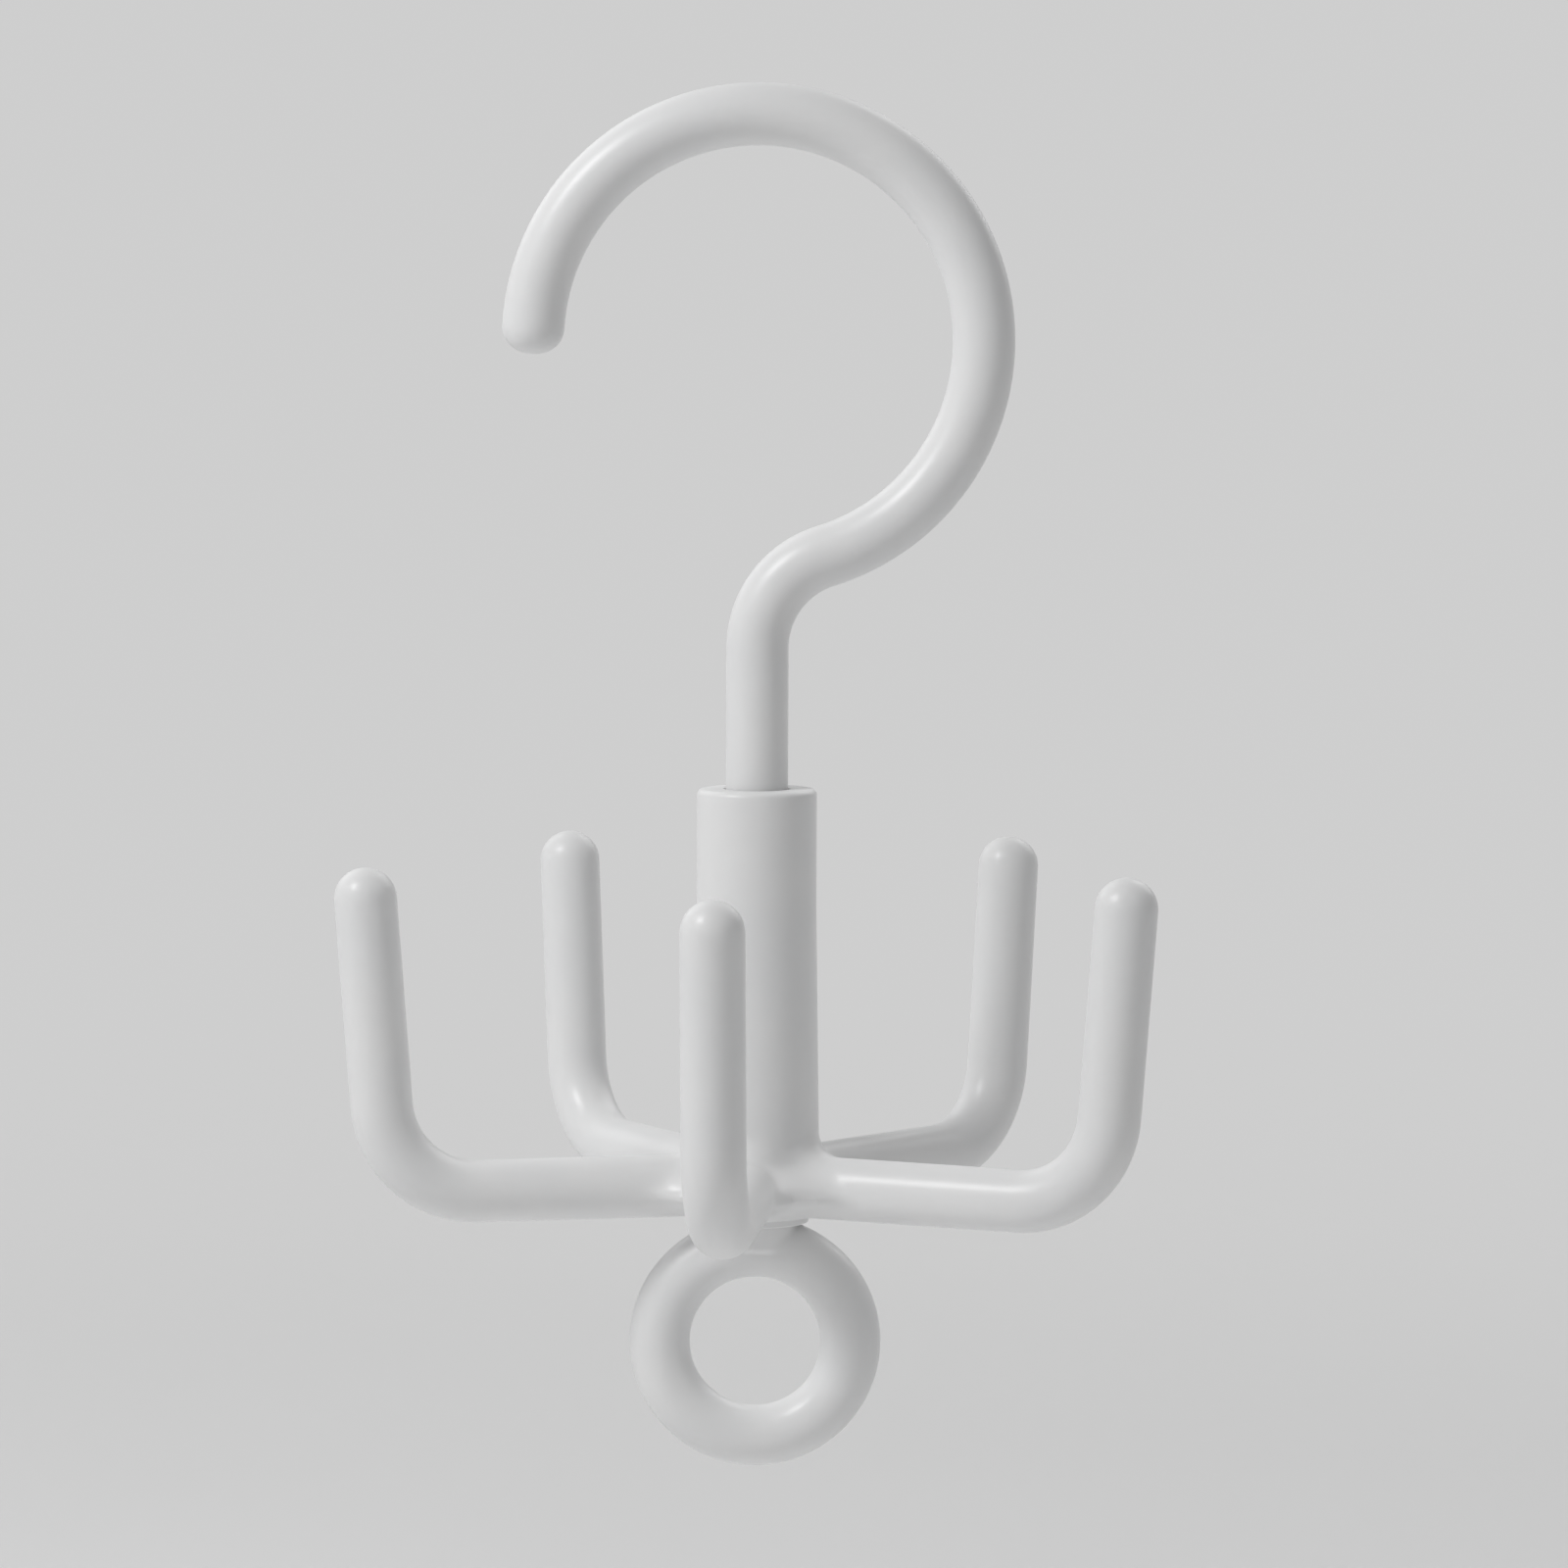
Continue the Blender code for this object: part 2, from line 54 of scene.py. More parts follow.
# Rod of the bow and shank
ROD_RADIUS = 4.15 * MM
BOW_RADIUS = 29.9 * MM
BOW_TIP_ANGLE = math.radians(176.3)
NECK_BEND_RADIUS = 12.8 * MM
TIP_DOME_HEIGHT = 3.8 * MM
TIP_FULLNESS = 2.2  # exponent of the tip's outline, flatter than a round dome
ROUND_FULLNESS = 2  # the exponent that a round dome has
SPIGOT_RADIUS = 3.2 * MM
SHANK_EDGE = 0.4 * MM
PILOT_RADIUS = 1.8 * MM
PILOT_DEPTH = 11.0 * MM
PILOT_CONE_HEIGHT = 1.0 * MM

# Sleeve
SLEEVE_RADIUS = 8.0 * MM
SLEEVE_TOP_ROUND = 0.85 * MM
SLEEVE_STRAIGHT_LENGTH = 16.0 * MM
FOOT_RADIUS = 8.45 * MM
FOOT_ROUND = 0.9 * MM
BORE_RADIUS = 4.45 * MM
MOUTH_EDGE = 0.15 * MM
WEB_THICKNESS = 4.0 * MM
WEB_HOLE_RADIUS = 3.5 * MM
WEB_EDGE = 0.2 * MM
CHAMBER_RADIUS = 5.9 * MM
BOSS_RADIUS = 7.1 * MM
BOSS_DROP = 0.6 * MM
BOSS_EDGE = 0.25 * MM
RIM_DROP = 0.35 * MM  # how far the boss's rim stands below the solid's underside
RUNNING_GAP = 0.3 * MM

# Claws
CLAW_COUNT = 5
CLAW_TURN = math.radians(6)
CLAW_RADIUS = 4.15 * MM
CLAW_TIP_RADIUS = 52.65 * MM
CLAW_RISE = 39.2 * MM
CLAW_LEAN = math.radians(4.4)
CLAW_BEND_RADIUS = 12.8 * MM
ROOT_FILLET_TOP = 3.8 * MM
ROOT_FILLET_SIDE = 9.0 * MM
ROOT_FILLET_LEAST = 0.15 * MM  # at the level undersides
ROOT_FULLEST_DROP = 0.7 * MM  # from the claws' centre line down to where the fillets are fullest
ROOT_PATCH_HEIGHT = 11.0 * MM  # from the claws' centre line up to where the plain sleeve begins
ROOT_PATCH_EDGE = 0.15 * MM  # flat ring between the boss and the root patches
COLLAR_REACH = 18.0 * MM  # from the swivel axis out to the claw's first plain section

# Ring and plug
RING_RADIUS = 12.8 * MM
RING_TUBE_RADIUS = 4.05 * MM
NECK_LENGTH = 3.9 * MM
NECK_END_RADIUS = 5.0 * MM
NECK_END_ROUND = 0.6 * MM
NECK_FILLET = 0.6 * MM
PLUG_RADIUS = 5.6 * MM
PLUG_WALL = 1.6 * MM
PLUG_FLOOR = 3.0 * MM
PLUG_EDGE = 0.6 * MM
BEAD_HEIGHT = 1.4 * MM
BEAD_PROUD = 0.45 * MM
BEAD_BELOW_TOP = 3.0 * MM
NECK_PATCH_TURN = math.radians(36)  # half of the ring's arc that the neck's patch covers
NECK_PATCH_WRAP = math.radians(122)  # how far that patch wraps round the tube, from its top

# Screw and washer
SCREW_RADIUS = 1.5 * MM
SCREW_CORE_RADIUS = 1.1 * MM
SCREW_PITCH = 1.1 * MM
THREAD_FOOT_SHARE = 0.5  # of the pitch, that the thread's foot takes
SCREW_POINT_LENGTH = 1.6 * MM
SCREW_POINT_SHARE = 0.3
SCREW_HEAD_RADIUS = 3.2 * MM
SCREW_HEAD_HEIGHT = 2.3 * MM
SCREW_HEAD_RIM = 0.9 * MM
RECESS_DEPTH = 1.3 * MM
RECESS_WIDTH = 0.9 * MM
RECESS_SPAN = 3.6 * MM
RECESS_TAPER_SHARE = 0.7
WASHER_EDGE = 0.15 * MM
WASHER_HOLE_RADIUS = 1.8 * MM

# Fineness
SIDE_STEPS = 20  # quads along each side of a root patch
PATCH_STEPS = 26  # quads from a patch's border to its tube
VALLEY_SAMPLES = 300
SEARCH_REACH = 6.0 * MM
ROD_SIDES = 64
RING_TUBE_SIDES = 64
RING_STEPS = 144  # of a whole turn, if the neck's patch weren't there
SCREW_SIDES = 40
THREAD_STEPS = 14  # rows for each turn of the thread
ROW_SPACING = 2.0 * MM
BOW_STEP = math.radians(2.5)
NECK_STEPS = 28
CLAW_BEND_STEPS = 26
DOME_STEPS = 12
EDGE_STEPS = 6
SETTLE_ROUNDS = 20
HALVINGS = 40
CREASE_CROWDING = 1.6  # exponent that draws rows towards the neck's crease
PROBE = 0.001 * MM
MERGE_DISTANCE = 0.0005 * MM
SHARP_ANGLE = math.radians(38)
CUT_OVERRUN = 1.0 * MM

# Heights, from the frame's boxes
HUB_BOTTOM_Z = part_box("claw_body")[0].z
SLEEVE_TOP_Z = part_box("claw_body")[1].z
SPIGOT_END_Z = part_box("top_hook")[0].z
WASHER_BOTTOM_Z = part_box("thrust_washer")[0].z
WASHER_TOP_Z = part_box("thrust_washer")[1].z
WASHER_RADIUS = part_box("thrust_washer")[1].x
HEAD_BOTTOM_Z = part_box("retaining_screw")[0].z
SCREW_END_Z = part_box("retaining_screw")[1].z
PLUG_TOP_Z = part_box("ring_plug")[1].z
RING_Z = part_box("ring_plug")[0].z + RING_RADIUS + RING_TUBE_RADIUS
WEB_BOTTOM_Z = SPIGOT_END_Z
WEB_TOP_Z = WEB_BOTTOM_Z + WEB_THICKNESS
SHANK_STEP_Z = WEB_TOP_Z + RUNNING_GAP
UNDERSIDE_Z = HUB_BOTTOM_Z + BOSS_DROP
CLAW_RUN_Z = UNDERSIDE_Z + CLAW_RADIUS
BEAD_Z = PLUG_TOP_Z - BEAD_BELOW_TOP
BOW_CENTRE_Z = -(BOW_RADIUS - ROD_RADIUS)
BEND_CENTRES_APART = BOW_RADIUS + NECK_BEND_RADIUS
NECK_BEND_Z = BOW_CENTRE_Z - math.sqrt(BEND_CENTRES_APART**2 - NECK_BEND_RADIUS**2)
SECTOR = math.tau / CLAW_COUNT

# Surfaces: colours are linear, and noise is (scale, detail) with scales per metre
RAMP_ENDS = (0.3, 0.7)  # where between them the noise changes the colour
PLASTIC_COLOURS = (0.745, 0.748, 0.752), (0.770, 0.770, 0.770)
PLASTIC_IOR = 1.49
PLASTIC_SPECULAR_LEVEL = 0.33
PLASTIC_ROUGHNESS = (0.30, 0.39)
PLASTIC_CLOUDS = (90, 3)
PLASTIC_GLOSS_PATCHES = (140, 4)
PLASTIC_WAVES = (70, 2)
PLASTIC_WAVE_DEPTH = 0.04 * MM
PLASTIC_GRAIN = (2600, 3)
PLASTIC_GRAIN_DEPTH = 0.004 * MM
STEEL_COLOURS = (0.50, 0.51, 0.53), (0.66, 0.66, 0.67)
WASHER_ROUGHNESS = (0.27, 0.45)
SCREW_ROUGHNESS = (0.20, 0.38)
STEEL_CLOUDS = (600, 3)
STEEL_GLOSS_PATCHES = (1500, 4)
STEEL_GRAIN = (4000, 2)
STEEL_GRAIN_DEPTH = 0.003 * MM

# Stage and light
FLOOR_Z = -0.235
FLOOR_NEAR_Y = -1.4
FLOOR_FAR_Y = 0.55
SWEEP_RADIUS = 0.45
SWEEP_STEPS = 24
BACKDROP_TOP = 1.6
STAGE_HALF_WIDTH = 2.0
PAPER_COLOURS = (0.73, 0.73, 0.73), (0.75, 0.75, 0.75)
PAPER_BOUNCE = (0.9, 0.9, 0.9, 1)  # the paper's colour for the light that it throws back
PAPER_CLOUDS = (3, 2)
PAPER_ROUGHNESS = 0.9
PAPER_FADE = (0.36, 0.8)  # distances from the origin at which the paper fades into the background
BACKGROUND = (0.62, 0.62, 0.62, 1)  # pale, where 1 is white
LAMP_TARGET = (0, 0, -0.08)
LAMPS = {  # name: (place, size, power)
    "key": ((-0.536, -0.348, 0.495), 0.28, 4.15),
    "rim_left": ((-0.58, 0.69, 0.55), 0.8, 1.5),
    "rim_right": ((0.58, 0.69, 0.55), 0.8, 2.6),
}
WORLD_COLOUR = (1.0, 1.0, 1.0, 1)
WORLD_STRENGTH = 0.32

# Camera, fitted to the photograph
CAMERA_PLACE = Vector((0, -806.5 * MM, -20.01 * MM))
CAMERA_PITCH = math.radians(4.585)
CAMERA_YAW = math.radians(0.256)
CAMERA_ROLL = math.radians(0.228)
CAMERA_FOCAL_SHARE = 3.87058  # focal length as a share of the frame's width
CAMERA_CLIP = (0.01, 20.0)
SENSOR_WIDTH_MM = 36.0


class Skin:
    """A mesh in the making: points are added as loops, and faces are laid between loops."""

    def __init__(self):
        self.bm = bmesh.new()

    def loop(self, points):
        return [self.bm.verts.new(Vector(point)) for point in points]

    def strip(self, loop, following, closed=True):
        """Quads between two loops of one length, or triangles to a loop that is one point."""
        count = max(len(loop), len(following))
        for i in range(count if closed else count - 1):
            j = (i + 1) % count
            corners = [loop[i % len(loop)], loop[j % len(loop)]]
            corners += [following[j % len(following)], following[i % len(following)]]
            self.bm.faces.new(dict.fromkeys(corners))

    def strips(self, loops, closed=True):
        """Faces between each loop and the next."""
        for loop, following in zip(loops, loops[1:]):
            self.strip(loop, following, closed)

    def piece(self, name):
        """The finished mesh as an object, with doubled points merged and its faces turned out."""
        bmesh.ops.remove_doubles(self.bm, verts=self.bm.verts, dist=MERGE_DISTANCE)
        bmesh.ops.recalc_face_normals(self.bm, faces=self.bm.faces)
        mesh = bpy.data.meshes.new(name)
        self.bm.to_mesh(mesh)
        self.bm.free()
        mesh.shade_smooth()
        mesh.set_sharp_from_angle(angle=SHARP_ANGLE)
        piece = bpy.data.objects.new(name, mesh)
        bpy.context.scene.collection.objects.link(piece)
        return piece


def circle(radius, height, sides, start=0.0):
    """Points of a level circle round the Z axis, or its centre where the radius is zero."""
    if radius == 0:
        return [(0, 0, height)]
    angles = [start + math.tau * i / sides for i in range(sides)]
    return [(radius * math.cos(a), radius * math.sin(a), height) for a in angles]


def corner(radius, height, size, start, end):
    """(radius, height) points of a rounded edge whose centre is given; angles in quarter turns."""
    points = []
    for i in range(EDGE_STEPS + 1):
        a = math.pi / 2 * (start + (end - start) * i / EDGE_STEPS)
        points.append((radius + size * math.cos(a), height + size * math.sin(a)))
    return points


def spread(start, end, spacing):
    """Values from start to end, evenly spaced, with both ends."""
    steps = max(1, math.ceil(abs(end - start) / spacing))
    return [start + (end - start) * i / steps for i in range(steps + 1)]


def cross_ring(centre, along, radius, sides, start=0.0):
    """A circle square to the direction along, for a tube that bends in the XZ plane."""
    side = Vector((0, 1, 0))
    up = along.cross(side).normalized()
    angles = [start + math.tau * i / sides for i in range(sides)]
    return [centre + radius * (math.cos(a) * side + math.sin(a) * up) for a in angles]


def slope(points, field):
    """How steeply the field rises along each axis."""
    rises = [field(points + step) - field(points - step) for step in PROBE * np.eye(3)]
    return np.stack(rises, axis=1) / (2 * PROBE)


def settle(points, field):
    """Moves points onto the surface where the field is zero, along the field's own slope."""
    points = np.array(points, float)
    for _ in range(SETTLE_ROUNDS):
        way = slope(points, field)
        points -= field(points)[:, None] * way / (way**2).sum(axis=1, keepdims=True)
    return points


def surface_along(points, ways, field):
    """Moves points along their own ways onto the surface where the field is zero, by halving."""
    inner, outer = np.full(len(points), -SEARCH_REACH), np.full(len(points), SEARCH_REACH)
    for _ in range(HALVINGS):
        middle = (inner + outer) / 2
        outside = field(points + ways * middle[:, None]) > 0
        inner, outer = np.where(outside, inner, middle), np.where(outside, middle, outer)
    return points + ways * inner[:, None]


def round_union(distances, fillet):
    """Joins distance fields with a fillet of the given radius, much as a rolled ball leaves it."""
    spare = sum(np.maximum(fillet - distance, 0) ** 2 for distance in distances)
    return np.maximum(fillet, np.minimum.reduce(distances)) - np.sqrt(spare)


def root_patch():
    """Rings of points from a root patch's square border to the claw's first plain section.
    Each line of points bends through a corner: where the sleeve meets the claw, or further out,
    where it leaves the valley squarely. The points then move onto the fillets along ways that turn
    evenly from the border's own slope to the claw's, so that they can't fold."""
    border = np.array(root_border())
    tube = np.array(claw_sections()[0])
    bend = tube.copy()
    valley = border[:, 0] + (np.abs(border[:, 1]) - np.abs(tube[:, 1])) * math.tan(SECTOR / 2)
    bend[:, 0] = np.maximum(np.sqrt(FOOT_RADIUS**2 - tube[:, 1] ** 2), valley)
    shares = np.linspace(0, 1, PATCH_STEPS + 1)[1:-1]
    start, end = slope(border, hub_field), slope(tube, hub_field)
    rings = [border]
    for s in shares:
        curve = border * (1 - s) ** 2 + bend * 2 * s * (1 - s) + tube * s**2
        ways = start * (1 - s) + end * s
        ways /= np.linalg.norm(ways, axis=1, keepdims=True)
        rings.append(surface_along(curve, ways, hub_field))
    return rings + [tube]


def claw_line():
    """The claw's centre line in its own plane: the bend's start and turn, and the leg's length."""
    turn = math.pi / 2 - CLAW_LEAN
    leg_length = (CLAW_RISE - CLAW_BEND_RADIUS * (1 - math.cos(turn))) / math.cos(CLAW_LEAN)
    leg_out = leg_length * math.sin(CLAW_LEAN)
    bend_out = CLAW_TIP_RADIUS - leg_out - CLAW_BEND_RADIUS * math.sin(turn)
    return bend_out, turn, leg_length


def claw_distance(points, azimuth):
    """Distance from points to the surface of the claw's level run, which points along azimuth."""
    out = points[:, 0] * math.cos(azimuth) + points[:, 1] * math.sin(azimuth)
    side = points[:, 1] * math.cos(azimuth) - points[:, 0] * math.sin(azimuth)
    bend_out, _, _ = claw_line()
    past_end = out - np.clip(out, 0, bend_out)
    level = np.hypot(past_end, points[:, 2] - CLAW_RUN_Z)
    return np.hypot(level, side) - CLAW_RADIUS


def sleeve_radius(height):
    """Outer radius of the sleeve: straight at the top, then widening evenly to its foot."""
    taper_top = SLEEVE_TOP_Z - SLEEVE_STRAIGHT_LENGTH
    taper_end = CLAW_RUN_Z + CLAW_RADIUS + ROOT_FILLET_TOP
    share = np.clip((taper_top - height) / (taper_top - taper_end), 0, 1)
    return SLEEVE_RADIUS + (FOOT_RADIUS - SLEEVE_RADIUS) * share


def post_distance(points, radius, end, edge):
    """Distance to an upright round post of the given radius, whose lower end has a rounded edge."""
    out = np.hypot(points[:, 0], points[:, 1]) - radius + edge
    down = end - points[:, 2] + edge
    inside = np.minimum(np.maximum(out, down), 0)
    return np.hypot(np.maximum(out, 0), np.maximum(down, 0)) + inside - edge


def ease(share):
    """A smooth step from 0 to 1."""
    share = np.clip(share, 0, 1)
    return share * share * (3 - 2 * share)


def hub_field(points):
    """Sleeve and claws as one soft form, turned so that one claw points along +X."""
    height = points[:, 2]
    fullest = CLAW_RUN_Z - ROOT_FULLEST_DROP
    below = np.clip((height - UNDERSIDE_Z) / (fullest - UNDERSIDE_Z), 0, 1)
    below = np.sin(math.pi / 2 * below)
    above = ease((height - fullest) / (CLAW_RUN_Z + CLAW_RADIUS - fullest))
    fillet = ROOT_FILLET_LEAST + (ROOT_FILLET_SIDE - ROOT_FILLET_LEAST) * below
    fillet += (ROOT_FILLET_TOP - ROOT_FILLET_SIDE) * above
    sleeve = post_distance(points, sleeve_radius(height), UNDERSIDE_Z, FOOT_ROUND)
    claws = [claw_distance(points, SECTOR * i) for i in range(CLAW_COUNT)]
    return round_union([sleeve, *claws], fillet)


def root_side():
    """(radius, height) points down the valley between two claws, from the sleeve to the boss."""
    heights = np.linspace(CLAW_RUN_Z + ROOT_PATCH_HEIGHT, UNDERSIDE_Z, VALLEY_SAMPLES)[:-1]
    half = SECTOR / 2
    ways = np.tile([math.cos(half), math.sin(half), 0], (len(heights), 1))
    points = ways * FOOT_RADIUS
    points[:, 2] = heights
    points = surface_along(points, ways, hub_field)
    radii = np.append(np.hypot(points[:, 0], points[:, 1]), BOSS_RADIUS + ROOT_PATCH_EDGE)
    heights = np.append(heights, UNDERSIDE_Z)
    lengths = np.append(0, np.cumsum(np.hypot(np.diff(radii), np.diff(heights))))
    wanted = np.linspace(0, lengths[-1], SIDE_STEPS + 1)
    return list(zip(np.interp(wanted, lengths, radii), np.interp(wanted, lengths, heights)))


def root_border():
    """The square border of a claw's root patch, from its lower right corner round by its top."""
    side = root_side()
    half = SECTOR / 2
    turns = [half - SECTOR * i / SIDE_STEPS for i in range(SIDE_STEPS)]
    border = [(r * math.cos(half), r * math.sin(half), z) for r, z in reversed(side[1:])]
    r, z = side[0]
    border += [(r * math.cos(a), r * math.sin(a), z) for a in turns]
    border += [(r * math.cos(half), -r * math.sin(half), z) for r, z in side[:-1]]
    r, z = side[-1]
    border += [(r * math.cos(a), -r * math.sin(a), z) for a in turns]
    return border


def claw_sections():
    """Rings of the claw along +X from its first plain section to the tip."""
    sides = 4 * SIDE_STEPS
    start = -math.pi / 4
    bend_out, turn, leg_length = claw_line()
    stations = [(Vector((x, 0, CLAW_RUN_Z)), Vector((1, 0, 0)))
                for x in spread(COLLAR_REACH, bend_out, ROW_SPACING)]
    for i in range(1, CLAW_BEND_STEPS + 1):
        a = turn * i / CLAW_BEND_STEPS
        out = bend_out + CLAW_BEND_RADIUS * math.sin(a)
        up = CLAW_RUN_Z + CLAW_BEND_RADIUS * (1 - math.cos(a))
        stations.append((Vector((out, 0, up)), Vector((math.cos(a), 0, math.sin(a)))))
    foot, leg = stations[-1]
    stations += [(foot + leg * s, leg) for s in spread(0, leg_length, ROW_SPACING)[1:]]
    rings = [cross_ring(point, along, CLAW_RADIUS, sides, start) for point, along in stations]
    tip = stations[-1][0]
    return rings + dome(tip, leg, CLAW_RADIUS, CLAW_RADIUS, sides, start, ROUND_FULLNESS)


def dome(centre, along, radius, height, sides, start, fullness):
    """Rings of a domed end, out to its pole; a fullness above that of a round dome flattens it."""
    rings = []
    power = ROUND_FULLNESS / fullness
    for i in range(1, DOME_STEPS):
        a = math.pi / 2 * i / DOME_STEPS
        middle = centre + along * height * math.sin(a) ** power
        rings.append(cross_ring(middle, along, radius * math.cos(a) ** power, sides, start))
    return rings + [[centre + along * height]]


def turned_rows(profile, sides, start=0.0):
    """Level circles through the (radius, height) points of a profile."""
    return [circle(radius, height, sides, start) for radius, height in profile]


def sleeve_profile():
    """(radius, height) points from the root patches' top, over the mouth and through the bore,
    to the root patches' lower border round the boss."""
    straight_top = SLEEVE_TOP_Z - SLEEVE_TOP_ROUND
    bore_top = SLEEVE_TOP_Z - MOUTH_EDGE
    outside = spread(CLAW_RUN_Z + ROOT_PATCH_HEIGHT, straight_top, ROW_SPACING)[:-1]
    groove = BEAD_HEIGHT / 2 + RUNNING_GAP
    rim = HUB_BOTTOM_Z - RIM_DROP + BOSS_EDGE
    return [
        *[(float(sleeve_radius(z)), z) for z in outside],
        *corner(SLEEVE_RADIUS - SLEEVE_TOP_ROUND, straight_top, SLEEVE_TOP_ROUND, 0, 1),
        *corner(BORE_RADIUS + MOUTH_EDGE, bore_top, MOUTH_EDGE, 1, 2),
        *[(BORE_RADIUS, z) for z in spread(bore_top, WEB_TOP_Z, ROW_SPACING)[1:]],
        (WEB_HOLE_RADIUS + WEB_EDGE, WEB_TOP_Z),
        (WEB_HOLE_RADIUS, WEB_TOP_Z - WEB_EDGE),
        (WEB_HOLE_RADIUS, WEB_BOTTOM_Z + WEB_EDGE),
        (WEB_HOLE_RADIUS + WEB_EDGE, WEB_BOTTOM_Z),
        (CHAMBER_RADIUS, WEB_BOTTOM_Z),
        (CHAMBER_RADIUS, BEAD_Z + groove),
        (CHAMBER_RADIUS + BEAD_PROUD, BEAD_Z),
        (CHAMBER_RADIUS, BEAD_Z - groove),
        (CHAMBER_RADIUS, rim),
        *corner(CHAMBER_RADIUS + BOSS_EDGE, rim, BOSS_EDGE, 2, 3)[1:],
        *corner(BOSS_RADIUS - BOSS_EDGE, rim, BOSS_EDGE, -1, 0),
        (BOSS_RADIUS, UNDERSIDE_Z),
        (BOSS_RADIUS + ROOT_PATCH_EDGE, UNDERSIDE_Z),
    ]


def make_claw_body():
    """Sleeve and claws: five alike root patches with their claws, and the turned sleeve."""
    skin = Skin()
    rings = root_patch() + claw_sections()[1:]
    first = -math.pi / 2 - CLAW_TURN
    for i in range(CLAW_COUNT):
        turn = Matrix.Rotation(first + SECTOR * i, 3, "Z")
        skin.strips([skin.loop([turn @ Vector(point) for point in ring]) for ring in rings])
    sides = CLAW_COUNT * SIDE_STEPS
    rows = turned_rows(sleeve_profile(), sides, first + SECTOR / 2)
    skin.strips([skin.loop(row) for row in rows])
    return skin.piece("claw_moulding")


def bow_stations():
    """(point, direction) from the bow's tip over the crown to the end of the neck bend."""
    joint = -math.acos(NECK_BEND_RADIUS / BEND_CENTRES_APART)
    centre = Vector((0, 0, BOW_CENTRE_Z))
    stations = []
    for a in spread(BOW_TIP_ANGLE, joint, BOW_STEP):
        spoke = Vector((math.cos(a), 0, math.sin(a)))
        stations.append((centre + spoke * BOW_RADIUS, Vector((math.sin(a), 0, -math.cos(a)))))
    centre = Vector((NECK_BEND_RADIUS, 0, NECK_BEND_Z))
    for i in range(1, NECK_STEPS + 1):
        a = math.pi + joint * (1 - i / NECK_STEPS)
        spoke = Vector((math.cos(a), 0, math.sin(a)))
        stations.append((centre + spoke * NECK_BEND_RADIUS, Vector((-math.sin(a), 0, math.cos(a)))))
    return stations


def make_top_hook():
    """Bow, neck bend, shank, spigot and screw hole, with a softly flattened tip."""
    skin = Skin()
    down = Vector((0, 0, -1))
    stations = bow_stations()
    tip, along = stations[0]
    rings = dome(tip, -along, ROD_RADIUS, TIP_DOME_HEIGHT, ROD_SIDES, 0, TIP_FULLNESS)
    rings = [[ring[-i] for i in range(len(ring))] for ring in reversed(rings)]
    rings += [cross_ring(point, along, ROD_RADIUS, ROD_SIDES) for point, along in stations]
    pilot_top = SPIGOT_END_Z + PILOT_DEPTH
    shank = spread(stations[-1][0].z, SHANK_STEP_Z + SHANK_EDGE, ROW_SPACING)[1:]
    profile = [
        *[(ROD_RADIUS, z) for z in shank],
        (ROD_RADIUS - SHANK_EDGE, SHANK_STEP_Z),
        (SPIGOT_RADIUS, SHANK_STEP_Z),
        (SPIGOT_RADIUS, SPIGOT_END_Z + SHANK_EDGE),
        (SPIGOT_RADIUS - SHANK_EDGE, SPIGOT_END_Z),
        (PILOT_RADIUS, SPIGOT_END_Z),
        (PILOT_RADIUS, pilot_top),
    ]
    rings += [cross_ring(Vector((0, 0, z)), down, radius, ROD_SIDES) for radius, z in profile]
    rings.append([(0, 0, pilot_top + PILOT_CONE_HEIGHT)])
    skin.strips([skin.loop(ring) for ring in rings])
    return skin.piece("bow_and_shank")


def ring_distance(points):
    """Distance to the ring's tube, which lies in the XZ plane."""
    spoke = np.hypot(points[:, 0], points[:, 2] - RING_Z) - RING_RADIUS
    return np.hypot(spoke, points[:, 1]) - RING_TUBE_RADIUS


def neck_field(points):
    """Ring and tapered neck as one soft form."""
    share = np.clip((HUB_BOTTOM_Z - points[:, 2]) / NECK_LENGTH, 0, 1)
    radius = PLUG_RADIUS + (NECK_END_RADIUS - PLUG_RADIUS) * share
    neck = post_distance(points, radius, HUB_BOTTOM_Z - NECK_LENGTH, NECK_END_ROUND)
    return round_union([ring_distance(points), neck], NECK_FILLET)


def ring_point(turn, wrap):
    """A point of the ring: turn goes round it from its top towards +X, wrap round the tube."""
    spoke = RING_RADIUS + RING_TUBE_RADIUS * math.cos(wrap)
    across = RING_TUBE_RADIUS * math.sin(wrap)
    return (spoke * math.sin(turn), across, RING_Z + spoke * math.cos(turn))


def centred(reach, steps):
    """Values from minus the reach up to it, evenly spaced, with both ends."""
    return [reach * (2 * i / steps - 1) for i in range(steps + 1)]


def neck_border(quarter):
    """The (turn, wrap) border of the neck's patch on the ring, one side for each quarter of it."""
    turns = centred(NECK_PATCH_TURN, quarter)[:-1]
    wraps = centred(NECK_PATCH_WRAP, quarter)[:-1]
    border = [(NECK_PATCH_TURN, wrap) for wrap in wraps]
    border += [(-turn, NECK_PATCH_WRAP) for turn in turns]
    border += [(-NECK_PATCH_TURN, -wrap) for wrap in wraps]
    border += [(turn, -NECK_PATCH_WRAP) for turn in turns]
    return np.array(border)


def neck_crease(tube):
    """Where each line down the neck's cone meets the ring, found by halving."""
    taper = NECK_END_RADIUS / PLUG_RADIUS
    low = tube * [taper, taper, 1] - [0, 0, NECK_LENGTH]
    start, end = np.zeros(len(tube)), np.ones(len(tube))
    for _ in range(HALVINGS):
        middle = (start + end) / 2
        outside = ring_distance(tube + (low - tube) * middle[:, None]) > 0
        start, end = np.where(outside, middle, start), np.where(outside, end, middle)
    return tube + (low - tube) * start[:, None]


